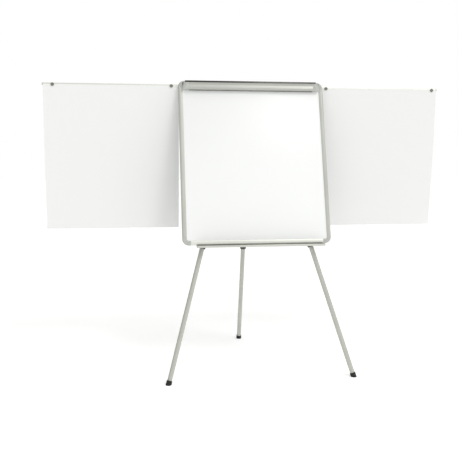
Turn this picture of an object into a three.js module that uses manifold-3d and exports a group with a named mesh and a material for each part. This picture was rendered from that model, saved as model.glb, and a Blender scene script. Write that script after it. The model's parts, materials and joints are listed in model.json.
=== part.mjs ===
// Flipchart easel: a framed whiteboard on three telescopic legs, with a pad clamp, a pen tray
// and two pull-out side arms that hold paper sheets under magnets.
// Millimetres, +Z up. The board faces -Y and leans back towards +Y.
// The origin is on the floor, under the centre of the whole easel's box.

import * as THREE from 'three';
import { mergeVertices } from 'three/addons/utils/BufferGeometryUtils.js';
import Module from 'manifold-3d';

const wasm = await Module();
wasm.setup();

// ---- driving dimensions -------------------------------------------------------------------

const gap = 0.3;                  // running or seating clearance between two pieces
const tubeSegments = 24;
const pinSegments = 16;

// board
const boardWidth = 892;
const boardHeight = 1000;
const boardTilt = 17.2;           // degrees back from upright
const boardLift = 766;            // height of the board's lower front edge
const frameWidth = 26;
const frameDepth = 20;
const frameWall = 2;
const frameLip = 2.6;
const frameGrip = 10;             // how far the panel reaches into the frame
const surfaceRecess = 3;
const surfaceSheet = 0.4;
const coreThickness = 11.4;
const backSheet = 0.4;
const cornerRadius = 38;
const cornerInnerRadius = 10;
const cornerLeg = 50;
const spigotLength = 22;

// pen tray
const trayInset = 69;             // its end caps from the board's sides, were it centred
const trayCentre = 15;
const trayReach = 44;
const trayDrop = 20.2;            // trough floor below the board at the lip
const trayBackDrop = 12.9;        // and at the back
const trayLipHeight = 10.2;
const traySheet = 2;
const trayCapThickness = 3;

// pad clamp
const clampSideGap = 4.5;         // from the frame's inner edge to the clamp
const clampCapLength = 34;
const clampHeight = 48;
const clampReach = 26;
const clampSheet = 2;
const clampAxisDrop = 18;         // hinge axis below the board's top edge
const clampKnuckleRadius = 5.2;
const clampPinRadius = 1.6;
const clampBaseHeight = 42;
const clampBaseThickness = 3;
const clampBaseInset = 42;        // top strip ends this far inside the board's sides
const clampEarThickness = 3;
const clampGripHeight = 7;
const springWire = 0.45;          // radius
const springTurns = 5;
const springLength = 9;

// pad pegs
const pegSpan = 280;
const pegTravel = 60;
const pegRadius = 3;
const pegLength = 13;
const pegFlange = 12;
const pegFlangeThickness = 2.2;
const pegSlotHeight = 6;
const pegDrop = 34;               // below the board's top edge

// side arms
const armStoredInset = 6;         // a stored arm's ends inside the board's sides
const armHeight = 14;
const armPlate = 2.5;
const armNeck = 2;
const armNeckDepth = 2.5;
const armHead = 6;
const armHeadDepth = 2.5;
const armDrop = 22;               // arm centre below the board's top edge
const armBehindFrame = 10;        // nearer arm's front face behind the frame
const armLayerPitch = 9.2;        // second arm behind the first
const armHeld = { left: 40, right: 76 }; // length still held in the guide
const armCapLength = 5;
const guideInset = 46;
const guideWall = 1.6;
const guideInnerEnd = 10;
const guideBracketWidth = 24;
const guideBracketInset = 60;

// paper sheets and magnets
const sheetWidth = 800;
const sheetDrop = 866;
const sheetThickness = 1;
const sheetTopInset = 8;          // below the arm's top edge
const magnetRadius = 10;
const magnetThickness = 6;
const magnetDrop = 4;             // below the arm's centre line
const magnetInset = { left: 45, right: 75 };      // inner magnet from the sheet's inner edge
const magnetOuterInset = { left: 55, right: 30 }; // outer magnet from the sheet's outer edge

// hub
const hubWidth = 220;
const hubHeight = 100;
const hubTop = 40;                // below the board's top edge
const hubThickness = 4;
const hubEarThickness = 4;
const hubEarRadius = 16;

// legs
const legPivotDrop = 75;          // below the board's top edge
const legPivotHalfSpan = 68;
const legSplay = 15.5;            // degrees, in the board's plane
const rearPivotDrop = 100;
const rearPivotClear = 21;        // from the hub plate to the rear leg's head
const rearLean = 11.85;           // degrees back from upright
const upperRadius = 16.5;
const upperEndDrop = -3;          // front upper tubes end this far below the board's lower edge
const tubeWall = 1.2;
const bushWall = 0.9;
const tubeOverlap = 90;           // lower tube left inside the upper one
const headWall = 3;
const headNeckLength = 26;
const headPlugLength = 30;
const boltRadius = 4;
const boltHeadRadius = 8;
const boltHeadHeight = 5;
const collarWall = 3;
const collarLength = 34;
const bushSleeveLength = 40;
const bushFlangeLength = 16;
const footWall = 3;
const footHeight = 24;
const footTubeSeat = 12;          // tube end above the floor, along the leg

// ---- materials ----------------------------------------------------------------------------

const material = (color, roughness, metalness) =>
  new THREE.MeshStandardMaterial({ color, roughness, metalness });
const enamel = material(0xf6f7f6, 0.18, 0.1);
const honeycomb = material(0xb9a27c, 0.9, 0);
const zincSheet = material(0xaeb0ae, 0.45, 0.8);
const greyAluminium = material(0xb9bab0, 0.4, 0.6);
const greyPaint = material(0xa9aa9c, 0.45, 0.4);
const greyPlastic = material(0x9a9a90, 0.5, 0);
const darkPlastic = material(0x3a3a36, 0.45, 0);
const blackSteel = material(0x33302b, 0.5, 0.3);
const brightSteel = material(0xc4c6c8, 0.3, 0.9);
const rubber = material(0x222221, 0.85, 0);
const magnetPlastic = material(0x77786c, 0.35, 0);
const paper = material(0xf3f4f2, 0.9, 0);

// ---- geometry helpers ---------------------------------------------------------------------

const radians = THREE.MathUtils.degToRad;
const X = new THREE.Vector3(1, 0, 0);
const Y = new THREE.Vector3(0, 1, 0);
const Z = new THREE.Vector3(0, 0, 1);

function shapeOf(points) {
  return new THREE.Shape(points.map(([a, b]) => new THREE.Vector2(a, b)));
}

function extrude(shape, depth, curveSegments = tubeSegments / 2) {
  return new THREE.ExtrudeGeometry(shape, { depth, curveSegments, bevelEnabled: false });
}

// A section drawn as [depth behind the front face, height], swept along X from x0 to x1.
function alongX(shape, x0, x1) {
  const geometry = extrude(shape, x1 - x0);
  return geometry.applyMatrix4(new THREE.Matrix4().makeBasis(Y, Z, X)).translate(x0, 0, 0);
}

function block(x0, x1, y0, y1, z0, z1) {
  const geometry = new THREE.BoxGeometry(x1 - x0, y1 - y0, z1 - z0);
  return geometry.translate((x0 + x1) / 2, (y0 + y1) / 2, (z0 + z1) / 2);
}

function circle(radius) {
  return new THREE.Shape().absarc(0, 0, radius, 0, Math.PI * 2, false);
}

// A cylinder along Z from z0 to z1.
function rod(radius, z0, z1, segments = tubeSegments) {
  return extrude(circle(radius), z1 - z0, segments / 2).translate(0, 0, z0);
}

function tube(outer, inner, z0, z1) {
  const shape = circle(outer);
  shape.holes.push(new THREE.Path().absarc(0, 0, inner, 0, Math.PI * 2, true));
  return extrude(shape, z1 - z0).translate(0, 0, z0);
}

// A turned piece on the Z axis from a profile of [radius, z], drawn anticlockwise.
function turned(profile, segments = tubeSegments) {
  const points = profile.map(([r, z]) => new THREE.Vector2(r, z));
  return new THREE.LatheGeometry(points, segments).rotateX(Math.PI / 2);
}

const pointingX = (geometry) => geometry.rotateY(Math.PI / 2);
const pointingY = (geometry) => geometry.rotateX(-Math.PI / 2);

// The outline of a folded sheet: the line is one face, and the wall lies on its left side.
function foldedSheet(line, wall) {
  const points = line.map(([a, b]) => new THREE.Vector2(a, b));
  const normals = points.slice(1).map((point, i) => {
    const along = point.clone().sub(points[i]).normalize();
    return new THREE.Vector2(-along.y, along.x);
  });
  const inner = points.map((point, i) => {
    const before = normals[Math.max(i - 1, 0)];
    const after = normals[Math.min(i, normals.length - 1)];
    const mitre = before.clone().add(after).normalize();
    return point.clone().addScaledVector(mitre, wall / mitre.dot(after));
  });
  return new THREE.Shape([...points, ...inner.reverse()]);
}

function toManifold(geometry) {
  const bare = geometry.clone();
  bare.deleteAttribute('normal');
  bare.deleteAttribute('uv');
  const merged = mergeVertices(bare, 1e-4);
  const triVerts = new Uint32Array(merged.index.array);
  const vertProperties = new Float32Array(merged.attributes.position.array);
  return new wasm.Manifold(new wasm.Mesh({ numProp: 3, vertProperties, triVerts }));
}

// Joins the first list of geometries and cuts the second list out of them.
function carve(added, cuts = []) {
  const joined = added.map(toManifold).reduce((a, b) => a.add(b));
  const result = cuts.map(toManifold).reduce((a, b) => a.subtract(b), joined);
  const mesh = result.getMesh();
  const geometry = new THREE.BufferGeometry();
  geometry.setAttribute('position', new THREE.BufferAttribute(mesh.vertProperties, 3));
  geometry.setIndex(new THREE.BufferAttribute(mesh.triVerts, 1));
  return geometry;
}

function piece(parent, name, geometry, finish) {
  const mesh = new THREE.Mesh(geometry, finish);
  mesh.name = name;
  parent.add(mesh);
  return mesh;
}

// ---- the board ----------------------------------------------------------------------------
// Board coordinates: x from the centre line, y behind the frame's front face, z up the board
// from its lower edge.

const halfWidth = boardWidth / 2;
const surfaceBack = surfaceRecess + surfaceSheet;
const coreFront = surfaceBack + gap;
const backFront = coreFront + coreThickness + gap;
const panelBack = backFront + backSheet;
const panelInset = frameWidth - frameGrip;
const sides = [['left', -1], ['right', 1]];

function panel(board) {
  const x = halfWidth - panelInset;
  const top = boardHeight - panelInset;
  const layer = (y0, y1) => block(-x, x, y0, y1, panelInset, top);
  piece(board, 'writing_surface', layer(surfaceRecess, surfaceBack), enamel);
  piece(board, 'board_core', layer(coreFront, coreFront + coreThickness), honeycomb);
  piece(board, 'back_sheet', layer(backFront, panelBack), zincSheet);
}

// The frame's section: u inwards from the outer edge, d behind the front face.
function frameSection() {
  const grip = panelInset - gap;
  const lip = panelBack + gap;
  const shape = shapeOf([
    [0, 0], [frameWidth, 0], [frameWidth, frameLip], [grip, frameLip],
    [grip, lip], [frameWidth, lip], [frameWidth, frameDepth], [0, frameDepth],
  ]);
  const inner = grip - frameWall;
  const back = frameDepth - frameWall;
  shape.holes.push(shapeOf([[frameWall, frameWall], [frameWall, back], [inner, back], [inner, frameWall]]));
  return shape;
}

// A frame bar of the given length, then turned so that its outer edge faces outwards.
function frameBar(length, turn) {
  const geometry = extrude(frameSection(), length);
  geometry.translate(0, 0, -length / 2);
  return geometry.rotateY(turn);
}

function frame(board) {
  const across = boardWidth - 2 * (cornerLeg + gap);
  const upright = boardHeight - 2 * (cornerLeg + gap);
  const middle = boardHeight / 2;
  const left = frameBar(upright, 0).translate(-halfWidth, 0, middle);
  const right = frameBar(upright, Math.PI).translate(halfWidth, 0, middle);
  const bottom = frameBar(across, -Math.PI / 2);
  const top = frameBar(across, Math.PI / 2).translate(0, 0, boardHeight);
  Object.entries({ left, right, bottom, top }).forEach(([side, geometry]) => {
    piece(board, `frame_${side}`, geometry, greyAluminium);
  });
}

// A corner piece in the lower left corner: rounded outside, with a spigot in each frame bar.
function cornerGeometry() {
  const shape = new THREE.Shape();
  const inner = frameWidth + cornerInnerRadius;
  shape.moveTo(cornerLeg, 0);
  shape.lineTo(cornerRadius, 0);
  shape.absarc(cornerRadius, cornerRadius, cornerRadius, -Math.PI / 2, Math.PI, true);
  shape.lineTo(0, cornerLeg);
  shape.lineTo(frameWidth, cornerLeg);
  shape.absarc(inner, inner, cornerInnerRadius, Math.PI, -Math.PI / 2, false);
  shape.lineTo(cornerLeg, frameWidth);
  const body = extrude(shape, frameDepth, 6).rotateX(Math.PI / 2).translate(0, frameDepth, 0);
  const near = frameWall + gap;
  const far = panelInset - gap - frameWall - gap;
  const back = frameDepth - frameWall - gap;
  const end = cornerLeg + spigotLength;
  const start = cornerLeg - frameWall;
  const alongBottom = block(start, end, near, back, near, far);
  const alongSide = block(near, far, near, back, start, end);
  const grip = panelInset - gap;
  const pocket = block(grip, end, frameLip, panelBack + gap, grip, end);
  return carve([body, alongBottom, alongSide], [pocket]);
}

function corners(board) {
  const places = [
    ['bottom_left', -halfWidth, 0, 0], ['bottom_right', halfWidth, 0, -Math.PI / 2],
    ['top_right', halfWidth, boardHeight, Math.PI], ['top_left', -halfWidth, boardHeight, Math.PI / 2],
  ];
  places.forEach(([place, x, z, turn]) => {
    const mesh = piece(board, `corner_${place}`, cornerGeometry(), greyPlastic);
    mesh.position.set(x, 0, z);
    mesh.rotation.y = turn;
  });
}

// ---- the pen tray -------------------------------------------------------------------------

function trayLine() {
  const flange = frameDepth - 3;
  const floor = -gap - trayDrop;
  return [
    [flange, -gap], [-gap, -gap], [-gap, -gap - trayBackDrop],
    [-trayReach, floor], [-trayReach - 1, floor + trayLipHeight],
  ];
}

function penTray(board) {
  const half = halfWidth - trayInset;
  const x0 = trayCentre - half;
  const x1 = trayCentre + half;
  piece(board, 'pen_tray', alongX(foldedSheet(trayLine(), traySheet), x0, x1), greyAluminium);
  const line = trayLine();
  const cap = shapeOf([line[1], line[2], line[3], line[4]]);
  const starts = [x0 - gap - trayCapThickness, x1 + gap];
  sides.forEach(([side], i) => {
    const geometry = alongX(cap, starts[i], starts[i] + trayCapThickness);
    piece(board, `tray_end_${side}`, geometry, greyPlastic);
  });
}

// ---- the pad clamp ------------------------------------------------------------------------

const clampAxis = [-clampBaseThickness - gap - clampKnuckleRadius - 0.5, boardHeight - clampAxisDrop];
const clampBottom = clampAxis[1] + clampKnuckleRadius - clampHeight;
const clampFront = -clampReach;
const clampFoot = -6;             // the foot's back edge
const capOuter = halfWidth - frameWidth - clampSideGap;
const clampHalf = capOuter - clampCapLength - gap;

// The clamp's outer section: a round knuckle on the hinge axis, a top slope, a front and a foot.
function clampLine() {
  const [y, z] = clampAxis;
  const slopeEnd = [clampFront + 2, z - 16];
  const away = new THREE.Vector2(slopeEnd[0] - y, slopeEnd[1] - z);
  const tangent = away.angle() - Math.acos(clampKnuckleRadius / away.length());
  const steps = 6;
  const arc = Array.from({ length: steps + 1 }, (_, i) => {
    const angle = (tangent * i) / steps;
    return [y + clampKnuckleRadius * Math.cos(angle), z + clampKnuckleRadius * Math.sin(angle)];
  });
  const turnedIn = [[clampFront + 3.5, clampBottom + 1], [clampFoot, clampBottom]];
  return [...arc, slopeEnd, [clampFront, z - 34], ...turnedIn];
}

// The base strip behind the clamp: a top strip, a lower plate with two peg slots, and two ears.
function clampBase() {
  const y0 = -gap - clampBaseThickness;
  const bottom = boardHeight - clampBaseHeight;
  const [earY, earZ] = clampAxis;
  const shoulder = earZ + clampKnuckleRadius;
  const topHalf = halfWidth - clampBaseInset;
  const earInner = capOuter + gap;
  const earOuter = earInner + clampEarThickness;
  const added = [
    block(-topHalf, topHalf, y0, -gap, bottom, boardHeight),
    block(-earOuter, earOuter, y0, -gap, shoulder - 12, shoulder),
  ];
  const cuts = [];
  const slot = pegTravel + pegSlotHeight / 2 + gap;
  const pegZ = boardHeight - pegDrop;
  sides.forEach(([, sign]) => {
    const [x0, x1] = sign > 0 ? [earInner, earOuter] : [-earOuter, -earInner];
    added.push(block(x0, x1, earY, -gap, earZ - 4.4, earZ + 4.4));
    added.push(pointingX(rod(4.4, x0, x1, pinSegments)).translate(0, earY, earZ));
    cuts.push(pointingX(rod(clampPinRadius + gap, x0 - 1, x1 + 1, pinSegments)).translate(0, earY, earZ));
    const x = (sign * pegSpan) / 2;
    const half = pegSlotHeight / 2;
    cuts.push(block(x - slot, x + slot, y0 - 1, 1, pegZ - half, pegZ + half));
  });
  return carve(added, cuts);
}

// An end cap: the bar's outer section filled in, its outer end hipped back, with the pin's bore.
function clampCap(sign) {
  const x0 = clampHalf + gap;
  const [y, z] = clampAxis;
  const body = alongX(shapeOf([...clampLine(), [y + clampKnuckleRadius, z - 10]]), x0, capOuter);
  const bore = pointingX(rod(clampPinRadius + gap, x0 - 1, capOuter + 1, pinSegments)).translate(0, y, z);
  const hip = extrude(shapeOf([[x0, z + 9], [capOuter + 9, z + 9], [capOuter + 9, z - 22]]), 2 * clampReach);
  hip.rotateX(Math.PI / 2).translate(0, y - clampKnuckleRadius - 1, 0);
  const geometry = carve([body], [bore, hip]);
  return sign > 0 ? geometry : mirrored(geometry);
}

// A copy mirrored in x, with its faces turned back outwards.
function mirrored(geometry) {
  const flipped = geometry.clone().scale(-1, 1, 1);
  const index = flipped.index.array;
  for (let i = 0; i < index.length; i += 3) {
    [index[i], index[i + 1]] = [index[i + 1], index[i]];
  }
  return flipped;
}

// A coil of wire on the hinge pin.
function clampSpring() {
  const radius = clampPinRadius + gap + springWire;
  const turnSteps = 8;
  const steps = springTurns * turnSteps;
  const points = Array.from({ length: steps + 1 }, (_, i) => {
    const angle = (i / turnSteps) * Math.PI * 2;
    const along = (springLength * i) / steps;
    return new THREE.Vector3(along, radius * Math.cos(angle), radius * Math.sin(angle));
  });
  const extrudePath = new THREE.CatmullRomCurve3(points);
  const options = { extrudePath, steps, curveSegments: 3, bevelEnabled: false };
  return new THREE.ExtrudeGeometry(circle(springWire), options);
}

function padClamp(board) {
  const clamp = new THREE.Group();
  board.add(clamp);
  const half = clampHalf;
  const [y, z] = clampAxis;
  piece(board, 'clamp_base', clampBase(), blackSteel);
  piece(clamp, 'clamp_bar', alongX(foldedSheet(clampLine(), clampSheet), -half, half), greyAluminium);
  const gripHalf = half - 2;
  const gripTop = clampBottom + clampGripHeight;
  const grip = block(-gripHalf, gripHalf, clampFoot + gap, surfaceRecess - gap, clampBottom, gripTop);
  piece(clamp, 'clamp_grip', grip, rubber);
  const pinInner = half - springLength - 6;
  const pinOuter = capOuter + gap + clampEarThickness;
  sides.forEach(([side, sign]) => {
    const [x0, x1] = sign > 0 ? [pinInner, pinOuter] : [-pinOuter, -pinInner];
    const pin = pointingX(rod(clampPinRadius, x0, x1, pinSegments)).translate(0, y, z);
    const springX = sign > 0 ? half - springLength - 2 : -half + 2;
    piece(clamp, `clamp_cap_${side}`, clampCap(sign), greyPlastic);
    piece(board, `clamp_pin_${side}`, pin, brightSteel);
    piece(board, `clamp_spring_${side}`, clampSpring().translate(springX, y, z), brightSteel);
  });
}

// A pad peg: a flange behind the slotted plate, a neck in the slot and a round peg in front.
function padPegs(board) {
  const plateFront = -gap - clampBaseThickness;
  const z = boardHeight - pegDrop;
  const flangeBack = surfaceRecess - gap;
  const half = pegFlange / 2;
  sides.forEach(([side, sign]) => {
    const x = (sign * pegSpan) / 2;
    const neck = pegSlotHeight / 2 - gap;
    const flange = block(-half, half, flangeBack - pegFlangeThickness, flangeBack, -half, half);
    const throat = block(-neck, neck, plateFront - 1, flangeBack - 1, -neck, neck);
    const collar = pointingY(rod(pegRadius + 2, -2, 0, pinSegments)).translate(0, plateFront - gap, 0);
    const shaft = pointingY(rod(pegRadius, -pegLength, 0, pinSegments)).translate(0, plateFront - gap, 0);
    const geometry = carve([flange, throat, collar, shaft]).translate(x, 0, z);
    piece(board, `pad_peg_${side}`, geometry, darkPlastic);
  });
}

// ---- side arms, sheets and magnets --------------------------------------------------------

const armZ = boardHeight - armDrop;
const armLength = boardWidth - 2 * armStoredInset;
const guideHalfSpan = halfWidth - guideInset;
const armFront = (layer) => frameDepth + armBehindFrame + layer * armLayerPitch;

// The arm's section: a flat front plate with a T-shaped rib behind it.
function armSection(front) {
  const half = armHeight / 2;
  const neck = armNeck / 2;
  const head = armHead / 2;
  const y1 = front + armPlate;
  const y2 = y1 + armNeckDepth;
  const y3 = y2 + armHeadDepth;
  return shapeOf([
    [front, -half], [y1, -half], [y1, -neck], [y2, -neck], [y2, -head], [y3, -head],
    [y3, head], [y2, head], [y2, neck], [y1, neck], [y1, half], [front, half],
  ]);
}

// A C-shaped guide round the arm's rib, with two brackets that reach over the arm to the frame.
function armGuide(front, sign) {
  const y0 = front + armPlate + gap;
  const lipBack = front + armPlate + armNeckDepth - gap;
  const inside = front + armPlate + armNeckDepth + armHeadDepth + gap;
  const back = inside + guideWall;
  const outer = armHead / 2 + gap + guideWall;
  const inner = armHead / 2 + gap;
  const mouth = armNeck / 2 + gap;
  const channel = shapeOf([
    [y0, -outer], [back, -outer], [back, outer], [y0, outer], [y0, mouth], [lipBack, mouth],
    [lipBack, inner], [inside, inner], [inside, -inner], [lipBack, -inner], [lipBack, -mouth], [y0, -mouth],
  ]);
  const top = boardHeight - armZ;
  const over = top - 10;
  const frameBack = frameDepth + gap;
  const bracket = shapeOf([
    [back - guideWall, outer - 1], [back, outer - 1], [back, over + guideWall],
    [frameBack + guideWall, over + guideWall], [frameBack + guideWall, top], [frameBack, top],
    [frameBack, over], [back - guideWall, over],
  ]);
  const [x0, x1] = sign > 0 ? [guideInnerEnd, guideHalfSpan] : [-guideHalfSpan, -guideInnerEnd];
  const brackets = [x0 + guideBracketInset, x1 - guideBracketInset].map((x) =>
    alongX(bracket, x - guideBracketWidth / 2, x + guideBracketWidth / 2));
  return carve([alongX(channel, x0, x1), ...brackets]).translate(0, 0, armZ);
}

// A sheet of paper: a strip on the arm's tilted front, then a straight fall under its own weight.
function paperSheet(front, x0) {
  const y = front - gap;
  const top = armHeight / 2 - sheetTopInset;
  const bend = -armHeight / 2 - 2;
  const fall = sheetDrop - (top - bend);
  const line = [
    [y, top], [y, bend],
    [y + fall * Math.sin(radians(boardTilt)), bend - fall * Math.cos(radians(boardTilt))],
  ];
  return alongX(foldedSheet(line.reverse(), sheetThickness), x0, x0 + sheetWidth).translate(0, 0, armZ);
}

function magnetGeometry() {
  const r = magnetRadius;
  const t = magnetThickness;
  const profile = [[0, 0], [r, 0], [r, t - 2], [r - 1.5, t - 0.4], [0, t]];
  return turned(profile, 20).rotateX(Math.PI / 2);
}

function sideArm(board, side, sign, layer) {
  const arm = new THREE.Group();
  board.add(arm);
  const front = armFront(layer);
  const outer = sign * (guideHalfSpan + armLength - armHeld[side]);
  const inner = outer - sign * armLength;
  const capEnd = outer + sign * armCapLength;
  const bar = alongX(armSection(front), Math.min(inner, outer), Math.max(inner, outer));
  const half = armHeight / 2;
  const capStart = Math.min(outer, capEnd) + (sign > 0 ? gap : 0);
  const capBack = front + armPlate + armNeckDepth + armHeadDepth;
  const capStop = capStart + armCapLength - gap;
  const cap = block(capStart, capStop, front - gap, capBack, armZ - half, armZ + half);
  piece(arm, `arm_${side}`, bar.translate(0, 0, armZ), greyAluminium);
  piece(arm, `arm_cap_${side}`, cap, greyPlastic);
  piece(board, `arm_guide_${side}`, armGuide(front, sign), zincSheet);
  const sheetInner = outer - sign * sheetWidth;
  piece(arm, `paper_sheet_${side}`, paperSheet(front, Math.min(outer, sheetInner)), paper);
  const face = front - gap - sheetThickness - gap;
  const places = {
    inner: sheetInner + sign * magnetInset[side],
    outer: outer - sign * magnetOuterInset[side],
  };
  Object.entries(places).forEach(([end, x]) => {
    const magnet = magnetGeometry().translate(x, face, armZ - magnetDrop);
    piece(arm, `magnet_${side}_${end}`, magnet, magnetPlastic);
  });
}

// ---- hub and legs -------------------------------------------------------------------------

const hubFront = panelBack + gap;
const hubBack = hubFront + hubThickness;
const legPivotZ = boardHeight - legPivotDrop;
const rearPivotZ = boardHeight - rearPivotDrop;
const headRadius = upperRadius + headWall;
const headHalfLength = upperRadius + headWall;
const lowerRadius = upperRadius - tubeWall - gap - bushWall - gap;
const collarRadius = upperRadius + collarWall;
const footRadius = lowerRadius + footWall;
const legPlaneDepth = Math.max(hubBack + headHalfLength, frameDepth + collarRadius) + gap;
const rearPivotDepth = hubBack + rearPivotClear + headRadius;

// The plate behind the board that the three legs hang on, with two ears for the rear leg.
function hubPlate() {
  const top = boardHeight - hubTop;
  const half = hubWidth / 2;
  const plate = block(-half, half, hubFront, hubBack, top - hubHeight, top);
  const added = [plate];
  const cuts = [];
  const [y, z, r] = [rearPivotDepth, rearPivotZ, hubEarRadius];
  sides.forEach(([, sign]) => {
    const inner = headHalfLength + gap;
    const [x0, x1] = sign > 0 ? [inner, inner + hubEarThickness] : [-inner - hubEarThickness, -inner];
    added.push(block(x0, x1, hubBack - 1, y, z - r, z + r));
    added.push(pointingX(rod(r, x0, x1)).translate(0, y, z));
    cuts.push(pointingX(rod(boltRadius + gap, x0 - 1, x1 + 1, pinSegments)).translate(0, y, z));
    const hole = pointingY(rod(boltRadius + gap, hubFront - 1, hubBack + 1, pinSegments));
    cuts.push(hole.translate(sign * legPivotHalfSpan, 0, legPivotZ));
  });
  return carve(added, cuts);
}

// A bolt on the Z axis with its plain end at 0 and its head beyond the grip length.
function bolt(grip) {
  const r = boltRadius;
  const head = grip + boltHeadHeight;
  const rim = boltHeadRadius;
  const profile = [[0, 0], [r, 0], [r, grip], [rim, grip], [rim, head - 1], [rim - 1, head], [0, head]];
  return turned(profile, pinSegments);
}

function hub(board) {
  piece(board, 'hub_plate', hubPlate(), zincSheet);
  const grip = legPlaneDepth + headHalfLength + gap - hubFront;
  sides.forEach(([side, sign]) => {
    const geometry = pointingY(bolt(grip)).translate(sign * legPivotHalfSpan, hubFront, legPivotZ);
    piece(board, `leg_bolt_${side}`, geometry, brightSteel);
  });
  const ears = headHalfLength + gap + hubEarThickness + gap;
  const geometry = pointingX(bolt(2 * ears)).translate(-ears, rearPivotDepth, rearPivotZ);
  piece(board, 'leg_bolt_rear', geometry, brightSteel);
}

// A leg's head: a boss on the pivot, a neck and a plug in the upper tube. The boss lies on Y or X,
// and its near end reaches to the hub.
function legHead(lay, nearHalf) {
  const tubeTop = -headNeckLength;
  const boss = lay(rod(headRadius, -nearHalf, headHalfLength));
  const neck = rod(upperRadius, tubeTop + gap, 0);
  const plug = rod(upperRadius - tubeWall - gap, tubeTop - headPlugLength, 0);
  const bore = lay(rod(boltRadius + gap, -nearHalf - 1, headHalfLength + 1, pinSegments));
  return carve([boss, neck, plug], [bore]);
}

// The threaded guide bush at the upper tube's lower end: a sleeve inside the tube and a flange.
function guideBush(tubeEnd) {
  const inner = lowerRadius + gap;
  const sleeve = upperRadius - tubeWall - gap;
  const under = tubeEnd - gap;
  const bottom = under - bushFlangeLength;
  return turned([
    [inner, bottom], [upperRadius, bottom], [upperRadius, under],
    [sleeve, under], [sleeve, under + bushSleeveLength], [inner, under + bushSleeveLength], [inner, bottom],
  ]);
}

// The twist collar: it screws on the bush and closes it on the lower tube.
function twistCollar(tubeEnd) {
  const bottom = tubeEnd - gap - bushFlangeLength - gap - 3;
  const top = bottom + collarLength;
  const bore = upperRadius + gap + 0.1;
  const mouth = lowerRadius + gap;
  return turned([
    [mouth, bottom], [collarRadius - 2, bottom], [collarRadius, bottom + 3], [collarRadius, top - 3],
    [collarRadius - 1, top], [bore, top], [bore, bottom + 3], [mouth, bottom + 3], [mouth, bottom],
  ]);
}

// A rubber foot on the lower tube's end, cut level with the floor. `floor` is the solid below it.
function rubberFoot(reach, floor) {
  const ground = -reach;
  const body = rod(footRadius, ground - footRadius, ground + footHeight);
  const bore = rod(lowerRadius + gap, ground + footTubeSeat, ground + footHeight + 1);
  return carve([body], [bore, floor]);
}

function leg(parent, name, { position, rotation, reach, lay, nearHalf, upperLength, lowerLength }) {
  const group = new THREE.Group();
  group.position.copy(position);
  group.rotation.copy(rotation);
  parent.add(group);
  group.updateWorldMatrix(true, false);
  const tubeTop = -headNeckLength;
  const tubeEnd = tubeTop - upperLength;
  const lowerEnd = -reach + footTubeSeat + gap;
  const floor = block(-200, 200, -200, 200, -200, 0);
  const centre = new THREE.Vector3(0, 0, -reach).applyMatrix4(group.matrixWorld);
  floor.translate(centre.x, centre.y, 0).applyMatrix4(group.matrixWorld.clone().invert());
  piece(group, `leg_head_${name}`, legHead(lay, nearHalf), darkPlastic);
  piece(group, `upper_tube_${name}`, tube(upperRadius, upperRadius - tubeWall, tubeEnd, tubeTop), greyPaint);
  piece(group, `guide_bush_${name}`, guideBush(tubeEnd), darkPlastic);
  piece(group, `twist_collar_${name}`, twistCollar(tubeEnd), darkPlastic);
  const lower = tube(lowerRadius, lowerRadius - tubeWall, lowerEnd, lowerEnd + lowerLength);
  piece(group, `lower_tube_${name}`, lower, greyPaint);
  piece(group, `rubber_foot_${name}`, rubberFoot(reach, floor), rubber);
}

function legs(easel, board) {
  const tilt = radians(boardTilt);
  const splay = radians(legSplay);
  const lean = radians(rearLean);
  const drop = boardLift + legPivotZ * Math.cos(tilt) - legPlaneDepth * Math.sin(tilt);
  const frontReach = drop / (Math.cos(tilt) * Math.cos(splay));
  const upperEnd = legPivotZ / Math.cos(splay) + upperEndDrop;
  const upperLength = upperEnd - headNeckLength;
  const lowerLength = frontReach - footTubeSeat - gap - upperEnd + tubeOverlap;
  const tubes = { upperLength, lowerLength };
  sides.forEach(([side, sign]) => {
    const position = new THREE.Vector3(sign * legPivotHalfSpan, legPlaneDepth, legPivotZ);
    const rotation = new THREE.Euler(0, -sign * splay, 0);
    const nearHalf = legPlaneDepth - hubBack - gap;
    leg(board, side, { position, rotation, reach: frontReach, lay: pointingY, nearHalf, ...tubes });
  });
  const position = new THREE.Vector3(0, rearPivotDepth, rearPivotZ).applyMatrix4(board.matrixWorld);
  const reach = position.z / Math.cos(lean);
  const rotation = new THREE.Euler(lean, 0, 0);
  leg(easel, 'rear', { position, rotation, reach, lay: pointingX, nearHalf: headHalfLength, ...tubes });
}

// ---- the easel ----------------------------------------------------------------------------

function easel() {
  const root = new THREE.Group();
  const board = new THREE.Group();
  board.position.z = boardLift;
  board.rotation.x = -radians(boardTilt);
  root.add(board);
  board.updateWorldMatrix(true, false);
  panel(board);
  frame(board);
  corners(board);
  penTray(board);
  padClamp(board);
  padPegs(board);
  sides.forEach(([side, sign], layer) => sideArm(board, side, sign, layer));
  hub(board);
  legs(root, board);
  const centre = new THREE.Box3().setFromObject(root, true).getCenter(new THREE.Vector3());
  root.position.set(-centre.x, -centre.y, 0);
  return root;
}

export default easel();
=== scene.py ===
"""Finished look of a flipchart easel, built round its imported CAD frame.

A framed white board leans on three telescopic legs. A pad clamp runs along its top, a pen tray
along its bottom, and a sheet of paper hangs from each of its two side arms.
"""

import json
import math

import bpy
from bpy.props import FloatProperty, FloatVectorProperty, PointerProperty
from mathutils import Matrix, Vector

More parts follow.
